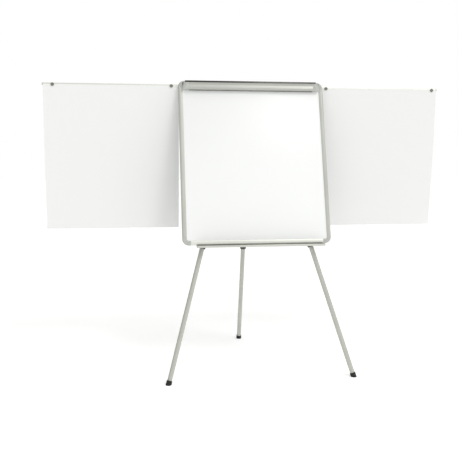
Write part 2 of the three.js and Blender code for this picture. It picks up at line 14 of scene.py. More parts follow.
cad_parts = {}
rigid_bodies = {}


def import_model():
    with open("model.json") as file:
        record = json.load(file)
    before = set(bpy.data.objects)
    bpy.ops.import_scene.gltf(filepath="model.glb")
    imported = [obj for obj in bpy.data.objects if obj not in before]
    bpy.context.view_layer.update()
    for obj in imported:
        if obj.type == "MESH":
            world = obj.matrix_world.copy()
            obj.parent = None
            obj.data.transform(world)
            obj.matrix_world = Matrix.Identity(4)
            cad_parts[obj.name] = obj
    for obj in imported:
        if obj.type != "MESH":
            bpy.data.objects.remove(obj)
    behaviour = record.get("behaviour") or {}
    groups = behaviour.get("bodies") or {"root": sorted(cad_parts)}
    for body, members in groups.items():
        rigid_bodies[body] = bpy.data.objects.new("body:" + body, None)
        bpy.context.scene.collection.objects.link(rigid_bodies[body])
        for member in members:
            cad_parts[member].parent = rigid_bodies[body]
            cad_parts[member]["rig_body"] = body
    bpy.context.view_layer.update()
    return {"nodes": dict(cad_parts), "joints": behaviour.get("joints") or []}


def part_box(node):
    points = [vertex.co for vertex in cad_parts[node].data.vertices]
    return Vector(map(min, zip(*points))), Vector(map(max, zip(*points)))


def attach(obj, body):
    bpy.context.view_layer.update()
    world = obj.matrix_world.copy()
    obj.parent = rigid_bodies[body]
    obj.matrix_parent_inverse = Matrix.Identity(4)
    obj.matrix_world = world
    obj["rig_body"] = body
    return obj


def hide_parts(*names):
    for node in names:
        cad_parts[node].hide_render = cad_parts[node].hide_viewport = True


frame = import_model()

bl_info = {
    "name": "Flipchart Easel",
    "version": (1, 0, 0),
    "blender": (4, 5, 0),
    "location": "View3D > Sidebar > Easel",
    "description": "Models and finishes the pieces of a flipchart easel",
    "category": "Object",
}

MM = 0.001
UP = Vector((0, 0, 1))
SIDES = ("left", "right")
LEGS = ("left", "right", "rear")
JOINTS = {joint["name"]: joint for joint in frame["joints"]}


# ---- the board's own axes, read from the frame ---------------------------------------------

class BoardAxes:
    """Places on the board: across, behind the frame's front face, and up the board."""

    def __init__(self):
        self.front = Vector(JOINTS["leg_left_fold"]["axis"]).normalized()
        self.across = Vector((1, 0, 0))
        self.up = self.front.cross(self.across).normalized()
        bars = [frame["nodes"][name].data for name in ("frame_bottom", "frame_top")]
        corners = [vertex.co for bar in bars for vertex in bar.vertices]
        self.face = max(co.dot(self.front) for co in corners)
        self.foot = min(co.dot(self.up) for co in corners)
        self.height = max(co.dot(self.up) for co in corners) - self.foot
        left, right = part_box("frame_left")[0].x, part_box("frame_right")[1].x
        self.middle = (left + right) / 2
        self.half = (right - left) / 2

    def local(self, co):
        return Vector((co.x - self.middle, self.face - co.dot(self.front), co.dot(self.up) - self.foot))

    def world(self, x, depth, height):
        place = self.across * (x + self.middle) + self.front * (self.face - depth)
        return place + self.up * (height + self.foot)

    def matrix(self, x, depth, height):
        """Local Z towards the viewer, local X across, local Y up the board."""
        turn = Matrix((self.across, self.up, self.front)).transposed().to_4x4()
        return Matrix.Translation(self.world(x, depth, height)) @ turn


BOARD = BoardAxes()


def leg_matrix(name):
    """Local Z up along a leg from its pivot at the origin."""
    along = Vector(JOINTS[f"leg_{name}_extend"]["axis"]).normalized()
    pivot = Vector(JOINTS[f"leg_{name}_fold"]["pos_m"])
    return Matrix.Translation(pivot) @ UP.rotation_difference(along).to_matrix().to_4x4()


def span(node, matrix):
    """Lowest and highest place of a node along a matrix's Z, and its least and greatest radius."""
    inverse = matrix.inverted()
    places = [inverse @ v.co for v in frame["nodes"][node].data.vertices]
    radii = [math.hypot(p.x, p.y) for p in places]
    heights = [p.z for p in places]
    return min(heights), max(heights), min(radii), max(radii)


# ---- modelling helpers ----------------------------------------------------------------------

def deselect():
    if bpy.context.mode != "OBJECT":
        bpy.ops.object.mode_set(mode="OBJECT")
    bpy.ops.object.select_all(action="DESELECT")


def take(piece):
    """Makes a piece the only selected and the active one."""
    deselect()
    piece.select_set(True)
    bpy.context.view_layer.objects.active = piece
    return piece


def named(name):
    piece = bpy.context.active_object
    piece.name = name
    piece.data.name = name
    return take(piece)


def copy_of(node):
    """A merged copy of a CAD node's mesh, with its flat faces whole again, ready for shaping."""
    mesh = frame["nodes"][node].data.copy()
    mesh.materials.clear()
    piece = bpy.data.objects.new(f"{node}_finished", mesh)
    bpy.context.scene.collection.objects.link(piece)
    take(piece)
    if mesh.has_custom_normals:
        bpy.ops.mesh.customdata_custom_splitnormals_clear()
    bpy.ops.object.mode_set(mode="EDIT")
    bpy.ops.mesh.select_all(action="SELECT")
    bpy.ops.mesh.remove_doubles(threshold=0.02 * MM)
    bpy.ops.mesh.dissolve_limited(angle_limit=math.radians(0.5))
    bpy.ops.object.mode_set(mode="OBJECT")
    return piece


def select(piece, kind, test):
    """Selects the edges or faces that pass a test, and stays in edit mode."""
    take(piece)
    bpy.ops.object.mode_set(mode="EDIT")
    bpy.ops.mesh.select_all(action="DESELECT")
    bpy.ops.mesh.select_mode(type=kind)
    bpy.ops.object.mode_set(mode="OBJECT")
    mesh = piece.data
    count = 0
    if kind == "EDGE":
        for edge in mesh.edges:
            a, b = (mesh.vertices[i].co for i in edge.vertices)
            edge.select = test(a, b)
            count += edge.select
    else:
        for face in mesh.polygons:
            face.select = test(face)
            count += face.select
    bpy.ops.object.mode_set(mode="EDIT")
    if not count:
        raise RuntimeError(f"{piece.name}: nothing was selected")


def round_edges(piece, radius, segments, test):
    select(piece, "EDGE", test)
    bpy.ops.mesh.bevel(offset=radius, segments=segments, profile=0.5, affect="EDGES", clamp_overlap=True)
    bpy.ops.object.mode_set(mode="OBJECT")


def modify(piece, kind, **settings):
    take(piece)
    bpy.ops.object.modifier_add(type=kind)
    modifier = piece.modifiers[-1]
    for key, value in settings.items():
        setattr(modifier, key, value)
    bpy.ops.object.modifier_apply(modifier=modifier.name)


def soften(piece, width=0.4 * MM, segments=2, angle=35):
    """Breaks every sharp edge by a small radius."""
    modify(piece, "BEVEL", width=width, segments=segments, limit_method="ANGLE",
           angle_limit=math.radians(angle), use_clamp_overlap=True, harden_normals=False)


def smooth(piece, angle=38):
    take(piece)
    bpy.ops.object.shade_smooth_by_angle(angle=math.radians(angle))


def place(piece, matrix):
    take(piece)
    piece.matrix_world = matrix
    bpy.ops.object.transform_apply(location=True, rotation=True, scale=True)


def give(piece, material, body, slot, *nodes):
    """Finishes a piece: its material, the body that it rides on, and the nodes it stands for."""
    piece.data.materials.clear()
    piece.data.materials.append(material)
    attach(piece, body)
    if nodes:
        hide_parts(*nodes)


def body_of(node):
    return frame["nodes"][node]["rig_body"]


def carried(node, material):
    """A CAD node that stays, with a finished material."""
    data = frame["nodes"][node].data
    data.materials.clear()
    data.materials.append(material)


def refine(node, material, slot, shape=None, width=0.4 * MM, angle=38):
    """A finished copy of a node: shaped, its edges broken, and put in the node's place."""
    piece = copy_of(node)
    if shape:
        shape(piece)
    if width:
        soften(piece, width)
    smooth(piece, angle)
    give(piece, material, body_of(node), slot, node)


# ---- materials ------------------------------------------------------------------------------

class Nodes:
    """A small helper that wires a procedural material."""

    def __init__(self, name):
        self.material = bpy.data.materials.new(name)
        self.material.use_nodes = True
        self.tree = self.material.node_tree
        self.shader = self.tree.nodes["Principled BSDF"]

    def add(self, kind, **inputs):
        node = self.tree.nodes.new(kind)
        for key, value in inputs.items():
            node.inputs[key.replace("_", " ")].default_value = value
        return node

    def link(self, source, target):
        self.tree.links.new(source, target)

    def place(self, scale=(1, 1, 1)):
        """Object coordinates, stretched."""
        coordinates = self.add("ShaderNodeTexCoord")
        mapping = self.add("ShaderNodeMapping")
        mapping.inputs["Scale"].default_value = scale
        self.link(coordinates.outputs["Object"], mapping.inputs["Vector"])
        return mapping.outputs["Vector"]

    def noise(self, vector, scale, detail=3, roughness=0.55):
        node = self.add("ShaderNodeTexNoise", Scale=scale, Detail=detail, Roughness=roughness)
        self.link(vector, node.inputs["Vector"])
        return node.outputs["Fac"]

    def cells(self, vector, scale):
        node = self.add("ShaderNodeTexVoronoi", Scale=scale)
        self.link(vector, node.inputs["Vector"])
        return node.outputs["Distance"]

    def ramp(self, value, low, high, low_at=0.3, high_at=0.7):
        """A value turned into a colour between two colours."""
        node = self.add("ShaderNodeValToRGB")
        first, last = node.color_ramp.elements
        first.position, first.color = low_at, (*low, 1)
        last.position, last.color = high_at, (*high, 1)
        self.link(value, node.inputs["Fac"])
        return node.outputs["Color"]

    def spread(self, value, low, high, low_at=0.3, high_at=0.7):
        """A value mapped to a range."""
        node = self.add("ShaderNodeMapRange")
        for key, number in zip(("From Min", "From Max", "To Min", "To Max"), (low_at, high_at, low, high)):
            node.inputs[key].default_value = number
        self.link(value, node.inputs["Value"])
        return node.outputs["Result"]

    def mix(self, factor, a, b):
        node = self.tree.nodes.new("ShaderNodeMix")
        node.data_type = "RGBA"
        self.link(factor, node.inputs["Factor"])
        self.link(a, node.inputs[6])
        self.link(b, node.inputs[7])
        return node.outputs[2]

    def bump(self, height, distance, strength=1.0, before=None):
        node = self.add("ShaderNodeBump", Distance=distance, Strength=strength)
        self.link(height, node.inputs["Height"])
        if before:
            self.link(before, node.inputs["Normal"])
        return node.outputs["Normal"]

    def set(self, **values):
        """Sets a shader socket to a number or a colour, or links it."""
        for key, value in values.items():
            socket = self.shader.inputs[key.replace("_", " ")]
            if isinstance(value, bpy.types.NodeSocket):
                self.link(value, socket)
            elif hasattr(value, "__len__"):
                socket.default_value = (*value, 1)
            else:
                socket.default_value = value


def shade(colour, amount):
    return tuple(min(1, c * amount) for c in colour)


def enamel(colour):
    """Vitreous enamel: glossy, with a faint orange peel and old wipe marks in the gloss."""
    n = Nodes("white_enamel")
    flat = n.place()
    wiped = n.noise(n.place(scale=(1, 3, 5)), 3.2, detail=5)
    fine = n.noise(flat, 240, detail=2)
    tint = n.ramp(n.noise(flat, 1.7), shade(colour, 0.985), colour)
    n.set(Base_Color=tint, Roughness=n.spread(wiped, 0.3, 0.42), Coat_Weight=0.08, Coat_Roughness=0.3)
    n.set(Normal=n.bump(fine, 0.02 * MM))
    return n.material


def anodised(name, colour, stretch, roughness=0.36, dust_and_shade=None):
    """Satin anodised aluminium, drawn along one direction, with light handling marks.

    Given two depths, the colour darkens towards the piece's back between them: painted shade standing in
    for the shadow in the pen tray's trough.
    """
    n = Nodes(name)
    drawn = n.noise(n.place(scale=stretch), 260, detail=4, roughness=0.7)
    broad = n.noise(n.place(), 5, detail=4)
    lines = n.ramp(drawn, shade(colour, 0.9), shade(colour, 1.06), 0.25, 0.75)
    worn = n.ramp(broad, shade(colour, 0.93), shade(colour, 1.03), 0.35, 0.65)
    surface = n.mix(n.spread(broad, 0.35, 0.65), lines, worn)
    # painted shade: between the two depths the colour falls to 0.3 to 0.4 of the metal's, for the shadow in
    # the trough
    if dust_and_shade:
        parts = n.add("ShaderNodeSeparateXYZ")
        n.link(n.place(), parts.inputs["Vector"])
        painted_trough_shade = n.ramp(broad, shade(colour, 0.3), shade(colour, 0.4))
        surface = n.mix(n.spread(parts.outputs["Y"], 0, 1, *dust_and_shade), surface, painted_trough_shade)
    n.set(Base_Color=surface, Metallic=0.55)
    n.set(Roughness=n.spread(drawn, roughness - 0.07, roughness + 0.09, 0.2, 0.8))
    n.set(Normal=n.bump(drawn, 0.03 * MM))
    return n.material


def powder_coat(name, colour, roughness=0.38):
    """Semi-gloss powder coat: a fine pebbled skin, with faint rub marks along the piece."""
    n = Nodes(name)
    skin = n.cells(n.place(), 900)
    peel = n.noise(n.place(), 320, detail=2)
    rubbed = n.noise(n.place(scale=(70, 70, 1.5)), 3, detail=5, roughness=0.7)
    base = n.ramp(n.noise(n.place(), 9), shade(colour, 0.95), shade(colour, 1.03))
    rub = n.ramp(rubbed, shade(colour, 1.12), shade(colour, 1.2), 0.4, 0.6)
    n.set(Base_Color=n.mix(n.spread(rubbed, 0, 0.6, 0.62, 0.72), base, rub), Metallic=0.2)
    n.set(Roughness=n.spread(rubbed, roughness - 0.04, roughness + 0.1, 0.35, 0.7), Coat_Weight=0.2)
    n.set(Normal=n.bump(peel, 0.05 * MM, before=n.bump(skin, 0.02 * MM, strength=0.6)))
    return n.material


def moulded(name, colour, roughness=0.45, grain=0.05):
    """Injection-moulded plastic with a spark-eroded grain and slightly uneven gloss."""
    n = Nodes(name)
    grains = n.cells(n.place(), 1300)
    cloud = n.noise(n.place(), 38, detail=5)
    n.set(Base_Color=n.ramp(cloud, shade(colour, 0.9), shade(colour, 1.08)))
    n.set(Roughness=n.spread(cloud, roughness - 0.06, roughness + 0.08))
    n.set(Normal=n.bump(grains, grain * MM))
    return n.material


def zinc(name, colour, roughness=0.38):
    """Zinc plate: soft spangles and a slightly mottled gloss."""
    n = Nodes(name)
    spangle = n.cells(n.place(), 55)
    haze = n.noise(n.place(), 14, detail=6)
    tone = n.mix(haze, n.ramp(spangle, shade(colour, 0.86), shade(colour, 1.06), 0.1, 0.8),
                 n.ramp(haze, shade(colour, 0.94), shade(colour, 1.04)))
    gloss = n.spread(spangle, roughness - 0.08, roughness + 0.12, 0, 0.8)
    n.set(Base_Color=tone, Metallic=0.85, Roughness=gloss)
    n.set(Normal=n.bump(n.noise(n.place(), 420), 0.015 * MM))
    return n.material


def bright_steel(name, colour):
    n = Nodes(name)
    turned = n.noise(n.place(scale=(1, 1, 6)), 700, detail=3)
    n.set(Base_Color=n.ramp(turned, shade(colour, 0.88), shade(colour, 1.05)), Metallic=1.0)
    n.set(Roughness=n.spread(turned, 0.2, 0.36), Normal=n.bump(turned, 0.01 * MM))
    return n.material


def rubber(name, colour):
    """Dull rubber with dust in its pores."""
    n = Nodes(name)
    pores = n.noise(n.place(), 650, detail=5)
    dust_and_shade = n.noise(n.place(), 45, detail=6, roughness=0.7)
    n.set(Base_Color=n.ramp(dust_and_shade, colour, shade(colour, 1.9), 0.42, 0.85))
    n.set(Roughness=n.spread(pores, 0.72, 0.92), Normal=n.bump(pores, 0.12 * MM))
    return n.material


def paper_stock(colour):
    """Uncoated paper: crossed fibres, a soft cloudiness and a slight cockle."""
    n = Nodes("flipchart_paper")
    across = n.noise(n.place(scale=(60, 200, 600)), 3, detail=4)
    down = n.noise(n.place(scale=(600, 200, 60)), 3, detail=4)
    cloud = n.noise(n.place(), 22, detail=6, roughness=0.6)
    darker = shade(colour, 0.985)
    fibres = n.mix(cloud, n.ramp(across, darker, colour), n.ramp(down, darker, colour))
    n.set(Base_Color=fibres, Roughness=n.spread(cloud, 0.82, 0.95), Specular_IOR_Level=0.25)
    cockle = n.bump(n.noise(n.place(), 2.6, detail=2), 3 * MM, strength=0.25)
    n.set(Normal=n.bump(across, 0.03 * MM, before=cockle))
    return n.material


def white_floor(colour, glow):
    n = Nodes("studio_floor")
    wear = n.noise(n.place(), 6, detail=4)
    n.set(Base_Color=n.ramp(wear, shade(colour, 0.995), colour), Roughness=n.spread(wear, 0.7, 0.8))
    n.set(Emission_Color=colour, Emission_Strength=glow)
    return n.material


# ---- sizes and colours that a user may change -------------------------------------------------

def colour(name, description, default):
    return FloatVectorProperty(name=name, description=description, subtype="COLOR", size=3,
                               min=0, max=1, default=default)


def length(name, description, default_mm):
    return FloatProperty(name=name, description=description, subtype="DISTANCE", unit="LENGTH",
                         min=0, default=default_mm * MM)


class EaselSizes(bpy.types.PropertyGroup):
    """Small shapes that finish the pieces."""

    crown_width: length("Crown", "Distance of the frame's crown from its outer edge", 8.5)
    crown_fall: length("Crown fall", "How far the frame's front falls back to its inner lip", 1.7)
    edge_break: length("Edge break", "Rounding of cut metal edges", 0.4)
    plastic_edge: length("Plastic edge", "Rounding of moulded edges", 1)
    screw_radius: length("Screw head", "Radius of the pan-head screws", 3.4)
    paper: length("Paper thickness", "Thickness of the sheets", 0.3)
    paper_wave: length("Paper wave", "Height of the soft waves in the hanging sheets", 2.5)


class EaselColours(bpy.types.PropertyGroup):
    """Colours of the finishes."""

    enamel: colour("Enamel", "Writing surface", (0.90, 0.91, 0.905))
    aluminium: colour("Frame", "Anodised frame, clamp and arms", (0.52, 0.53, 0.49))
    tray: colour("Tray", "Anodised pen tray", (0.62, 0.625, 0.575))
    legs: colour("Legs", "Powder-coated leg tubes", (0.47, 0.48, 0.43))
    light_plastic: colour("Light plastic", "Corner pieces and end caps", (0.48, 0.49, 0.46))
    dark_plastic: colour("Dark plastic", "Leg heads, collars and pegs", (0.045, 0.045, 0.042))
    black_steel: colour("Black steel", "Clamp base", (0.028, 0.023, 0.018))
    zinc: colour("Zinc", "Back sheet, hub and guides", (0.50, 0.515, 0.51))
    bright: colour("Bright steel", "Bolts, pins, springs and screws", (0.72, 0.73, 0.74))
    rubber: colour("Rubber", "Feet and clamp grip", (0.018, 0.018, 0.017))
    magnet: colour("Magnets", "Magnet housings", (0.17, 0.17, 0.135))
    paper: colour("Paper", "Hanging sheets", (0.835, 0.84, 0.83))
    board: colour("Core board", "Honeycomb core", (0.42, 0.33, 0.22))
    floor: colour("Floor", "Studio floor", (0.9, 0.9, 0.9))


class EaselStage(bpy.types.PropertyGroup):
    """Floor, lights and camera."""

    lens: FloatProperty(name="Lens", description="Focal length in millimetres", default=57.574, min=10)
    camera_height: FloatProperty(name="Camera height", description="Height of the camera above the floor",
                                 subtype="DISTANCE", unit="LENGTH", default=1.46054)
    sun: FloatProperty(name="Key light", description="Strength of the key light", default=0.55, min=0)
    sky: FloatProperty(name="Sky", description="Strength of the sky on the brighter side",
                       default=1.01, min=0)
    floor_glow: FloatProperty(name="Floor glow", description="Light given off by the floor",
                              default=0.5, min=0)


def sizes():
    return bpy.context.scene.easel_sizes


def colours():
    return bpy.context.scene.easel_colours


FINISHES = {}


def trough_depths():
    """How far back the pen tray's trough begins and ends."""
    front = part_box("pen_tray")[0].y
    return front + 12 * MM, front + 43 * MM


def finish(name):
    """A finish by its slot name, made once."""
    if name not in FINISHES:
        c = colours()
        metal = tuple(c.aluminium)
        level, upright = (0.02, 1, 1), (1, 0.05, 0.02)      # which way the metal was drawn
        makers = {
            "enamel_white": lambda: enamel(tuple(c.enamel)),
            "core_board": lambda: moulded("honeycomb_core", tuple(c.board), 0.9, 0.2),
            "zinc_sheet": lambda: zinc("zinc_plate", tuple(c.zinc)),
            "hub_steel": lambda: zinc("hub_plate_zinc", shade(tuple(c.zinc), 0.9), 0.34),
            # painted light: the level bars are a 1.45 times lighter copy of the uprights' metal, for the
            # light that the bottom bar catches
            "frame_across_painted_light": lambda: anodised("anodised_across_painted_light", shade(metal, 1.45), level),
            "clamp_grey": lambda: anodised("anodised_clamp", shade(metal, 0.9), level),
            "frame_upright": lambda: anodised("anodised_upright", metal, upright),
            "arm_grey": lambda: anodised("anodised_arm", shade(metal, 1.3), level, 0.42),
            # the tray's trough is darkened towards its back: painted shade, not a different metal
            "tray_grey": lambda: anodised("anodised_tray", tuple(c.tray), level, 0.4, trough_depths()),
            "leg_grey": lambda: powder_coat("leg_powder_coat", tuple(c.legs)),
            "grey_plastic": lambda: moulded("light_plastic", tuple(c.light_plastic), 0.42),
            "dark_plastic": lambda: moulded("dark_plastic", tuple(c.dark_plastic), 0.4),
            "black_steel": lambda: powder_coat("black_lacquer", tuple(c.black_steel), 0.34),
            "bright_steel": lambda: bright_steel("bright_steel", tuple(c.bright)),
            "black_rubber": lambda: rubber("foot_rubber", tuple(c.rubber)),
            "magnet_grey": lambda: moulded("magnet_housing", tuple(c.magnet), 0.32, 0.02),
            "paper_white": lambda: paper_stock(tuple(c.paper)),
            "floor": lambda: white_floor(tuple(c.floor), bpy.context.scene.easel_stage.floor_glow),
        }
        FINISHES[name] = makers[name]()
    return FINISHES[name]


# ---- shared shapes -----------------------------------------------------------------------------

def turned(name, profile, segments=48, closed=False):
    """A turned piece on Z: one ring, extruded and scaled along a profile of (radius, height)."""
    deselect()
    radius, height = profile[0]
    bpy.ops.mesh.primitive_circle_add(vertices=segments, radius=radius, fill_type="NOTHING",
                                      location=(0, 0, height))
    piece = named(name)
    bpy.ops.object.transform_apply(location=True)
    bpy.ops.object.mode_set(mode="EDIT")
    bpy.ops.mesh.select_mode(type="VERT")
    bpy.ops.mesh.select_all(action="SELECT")
    for next_radius, next_height in profile[1:]:
        bpy.ops.mesh.extrude_region_move(TRANSFORM_OT_translate={"value": (0, 0, next_height - height)})
        ratio = next_radius / radius
        bpy.ops.transform.resize(value=(ratio, ratio, 1), center_override=(0, 0, next_height))
        radius, height = next_radius, next_height
    bpy.ops.mesh.select_all(action="SELECT")
    if closed:
        bpy.ops.mesh.remove_doubles(threshold=0.001 * MM)
    else:
        bpy.ops.mesh.select_all(action="DESELECT")
        bpy.ops.mesh.select_non_manifold()
        bpy.ops.mesh.fill_holes(sides=0)
        bpy.ops.mesh.select_all(action="SELECT")
    bpy.ops.mesh.normals_make_consistent(inside=False)
    bpy.ops.object.mode_set(mode="OBJECT")
    return piece


def prism(name, points, low, high):
    """A bar on Z: a vertex extruded round an outline of (x, y), filled and extruded to its length."""
    deselect()
    bpy.ops.mesh.primitive_plane_add(size=1 * MM, location=(*points[0], low))
    piece = named(name)
    bpy.ops.object.transform_apply(location=True)
    bpy.ops.object.mode_set(mode="EDIT")
    bpy.ops.mesh.select_mode(type="VERT")
    bpy.ops.mesh.select_all(action="SELECT")
    bpy.ops.mesh.merge(type="CENTER")
    for (x, y), (next_x, next_y) in zip(points, [*points[1:], points[0]]):
        bpy.ops.mesh.extrude_region_move(TRANSFORM_OT_translate={"value": (next_x - x, next_y - y, 0)})
    bpy.ops.mesh.select_all(action="SELECT")
    bpy.ops.mesh.remove_doubles(threshold=0.001 * MM)
    bpy.ops.mesh.edge_face_add()
    bpy.ops.mesh.extrude_region_move(TRANSFORM_OT_translate={"value": (0, 0, high - low)})
    bpy.ops.mesh.select_all(action="SELECT")
    bpy.ops.mesh.normals_make_consistent(inside=False)
    bpy.ops.object.mode_set(mode="OBJECT")
    return piece


def in_mm(points):
    return [(x * MM, y * MM) for x, y in points]


def arc_profile(radius, centre, start, stop, steps=5):
    """Points of a rounded edge in a turned profile."""
    angles = [math.radians(start + (stop - start) * i / steps) for i in range(steps + 1)]
    return [(centre[0] + radius * math.cos(a), centre[1] + radius * math.sin(a)) for a in angles]


def own_copy(piece, name, matrix):
    """A copy with its own mesh, put in its place."""
    mesh = piece.data.copy()
    twin = bpy.data.objects.new(name, mesh)
    mesh.name = name
    bpy.context.scene.collection.objects.link(twin)
    place(twin, matrix)
    return twin


def remove(piece):
    take(piece)
    bpy.ops.object.delete()


def join(name, *pieces):
    deselect()
    for piece in pieces:
        piece.select_set(True)
    bpy.context.view_layer.objects.active = pieces[0]
    bpy.ops.object.join()
    return named(name)


def united(piece, other):
    """Joins two closed shells into one skin."""
    modify(piece, "BOOLEAN", operation="UNION", object=other, solver="EXACT")
    remove(other)
    return piece


def cut_from(piece, tool):
    modify(piece, "BOOLEAN", operation="DIFFERENCE", object=tool, solver="EXACT")
    remove(tool)
    return piece


def pan_screw(radius):
    """A pan-head screw on Z with a cross recess; its seat is at the origin."""
    height = radius * 0.62
    head = turned("pan_screw", [(radius, -0.5 * MM), (radius, height * 0.3), (radius * 0.93, height * 0.62),
                                (radius * 0.74, height * 0.88), (radius * 0.4, height)], segments=20)
    blade = (radius * 0.62, radius * 0.15, height * 0.5)
    for turn in (0, math.pi / 2):
        deselect()
        bpy.ops.mesh.primitive_cube_add(size=2, location=(0, 0, height), rotation=(0, 0, turn), scale=blade)
        tool = named("driver_bit")
        bpy.ops.object.transform_apply(location=True, rotation=True, scale=True)
        cut_from(head, tool)
    return head


SEATS = {"towards viewer": 0, "towards back": math.pi}


def near(a, b, slack=0.06 * MM):
    return abs(a - b) < slack


def board_seat(x, depth, height, facing="towards back"):
    """Local Z out of the board's front or back at a place on the board."""
    turn = Matrix.Rotation(SEATS[facing], 4, "X")
    return BOARD.matrix(x, depth, height) @ turn


def screws(name, seats, material, radius=None):
    """One piece on the board with a screw at every seat."""
    model = pan_screw(radius or sizes().screw_radius)
    copies = [own_copy(model, f"{name}_{i}", seat @ Matrix.Rotation(0.7 * i, 4, "Z"))
              for i, seat in enumerate(seats)]
    remove(model)
    row = join(name, *copies)
    smooth(row, 35)
    give(row, finish(material), "board", material)


# ---- the board ---------------------------------------------------------------------------------

class EASEL_OT_panel(bpy.types.Operator):
    """Finish the writing surface, its core and the back sheet."""

    bl_idname = "easel.panel"
    bl_label = "Panel"

    def execute(self, context):
        carried("board_core", finish("core_board"))
        refine("writing_surface", finish("enamel_white"), "enamel_white", width=0.12 * MM)
        refine("back_sheet", finish("zinc_sheet"), "zinc_sheet", width=0.12 * MM)
        return {"FINISHED"}


class EASEL_OT_frame(bpy.types.Operator):
    """Draw the frame's crowned section into four bars, sweep it round four corners and screw them on."""

    bl_idname = "easel.frame"
    bl_label = "Frame and corners"

    depth = 20 * MM
    leg = 50 * MM                 # of a corner piece, from the outer edge
    turn_centre = 38 * MM
    gap = 0.3 * MM
    spigot_end = 72 * MM
    screw = (13 * MM, 60 * MM)    # from a corner's two outer edges
    inner = 26                    # in mm, as are the depths and outlines below
    lip_back, groove_back = 2.6, 16.1
    wall = 15.7                   # from the outer edge to the groove's floor
    groove = ((inner, groove_back), (wall, groove_back), (wall, lip_back))
    hollow = ((2.2, 9), (3.4, 5), (6, 2.9), (10, 2), (13.7, 2), (13.7, 18), (2.2, 18))
    spigot = ((2.5, 9.1), (3.7, 5.2), (6.2, 3.2), (10, 2.3), (13.4, 2.3), (13.4, 17.7), (2.5, 17.7))

    def crown(self):
        """The section's front from its inner lip over the crown to the outer side, in mm."""
        width, fall = sizes().crown_width / MM, sizes().crown_fall / MM
        side, slope_steps, turn_steps = 8, 7, 8
        points = [(self.inner, self.lip_back)]
        for i in range(slope_steps):
            part = i / slope_steps
            points.append((self.inner - part * (self.inner - width), fall * (1 - part) ** 2))
        for i in range(turn_steps + 1):
            angle = math.radians(90 - 90 * i / turn_steps)
            points.append((width * (1 - math.cos(angle)), side * (1 - math.sin(angle))))
        return points + [(0, 18.5), (0.44, 19.56), (1.5, 20), (self.inner, 20)]

    def places(self):
        """Where each bar, and the corner before it, stands: local X inwards, Y back and Z along."""
        along, up, back = BOARD.across, BOARD.up, -BOARD.front
        half, high = BOARD.half, BOARD.height
        return {
            "left": ("bottom_left", along, up, BOARD.world(-half, 0, 0), high),
            "bottom": ("bottom_right", up, -along, BOARD.world(half, 0, 0), 2 * half),
            "right": ("top_right", -along, -up, BOARD.world(half, 0, high), high),
            "top": ("top_left", -up, along, BOARD.world(-half, 0, high), 2 * half),
        }, back

    def bar(self, long):
        end = self.leg + self.gap
        piece = prism("frame_bar", in_mm([*self.crown(), *self.groove]), end, long - end)
        core = prism("bar_hollow", in_mm(self.hollow), end - 1 * MM, long - end + 1 * MM)
        return cut_from(piece, core)

    def corner(self):
        """The section swept down one leg, round the turn and out along the other."""
        centre, leg = self.turn_centre, self.leg
        piece = prism("corner_piece", in_mm(self.crown()), centre, leg)
        select(piece, "FACE", lambda face: near(face.center.z, centre) and abs(face.normal.z) > 0.9)
        bpy.ops.mesh.spin(steps=12, angle=math.pi / 2, center=(centre, 0, centre), axis=(0, 1, 0))
        bpy.ops.mesh.extrude_region_move(TRANSFORM_OT_translate={"value": (leg - centre, 0, 0)})
        bpy.ops.mesh.select_all(action="SELECT")
        bpy.ops.mesh.remove_doubles(threshold=0.001 * MM)
        bpy.ops.mesh.normals_make_consistent(inside=False)
        bpy.ops.object.mode_set(mode="OBJECT")
        front, behind = self.lip_back * MM, self.groove_back * MM
        middle = 60 * MM              # of the pocket, past the ends of the legs
        side = 2 * (middle - self.wall * MM)
        deselect()
        bpy.ops.mesh.primitive_cube_add(size=1, location=(middle, (front + behind) / 2, middle),
                                        scale=(side, behind - front, side))
        pocket = named("panel_pocket")
        bpy.ops.object.transform_apply(location=True, scale=True)
        cut_from(piece, pocket)
        start = leg - 2 * MM
        upright = prism("spigot", in_mm(self.spigot), start, self.spigot_end)
        across_and_up = Matrix(((0, 0, 1, 0), (0, 1, 0, 0), (1, 0, 0, 0), (0, 0, 0, 1)))
        level = own_copy(upright, "level_spigot", across_and_up)
        bpy.ops.object.mode_set(mode="EDIT")
        bpy.ops.mesh.select_all(action="SELECT")
        bpy.ops.mesh.normals_make_consistent(inside=False)
        bpy.ops.object.mode_set(mode="OBJECT")
        return united(united(piece, upright), level)

    def execute(self, context):
        places, back = self.places()
        model = self.corner()
        for side, (corner, inwards, along, origin, long) in places.items():
            matrix = Matrix.Translation(origin) @ Matrix((inwards, back, along)).transposed().to_4x4()
            bar = self.bar(long)
            bar.name = f"frame_{side}_finished"
            place(bar, matrix)
            smooth(bar, 30)
            # the level bars take the lighter copy of the frame metal: painted light on the same anodised
            # aluminium
            grain = "frame_upright" if side in SIDES else "frame_across_painted_light"
            give(bar, finish(grain), "board", "frame_grey", f"frame_{side}")
            piece = own_copy(model, f"corner_{corner}_finished", matrix)
            smooth(piece, 30)
            give(piece, finish("grey_plastic"), "board", "grey_plastic", f"corner_{corner}")
        remove(model)
        seats = []
        for side in (-1, 1):
            for at_top in (False, True):
                for along, up in (self.screw, self.screw[::-1]):
                    height = BOARD.height - up if at_top else up
                    seats.append(board_seat(side * (BOARD.half - along), self.depth, height))
        screws("corner_screws", seats, "bright_steel")
        return {"FINISHED"}


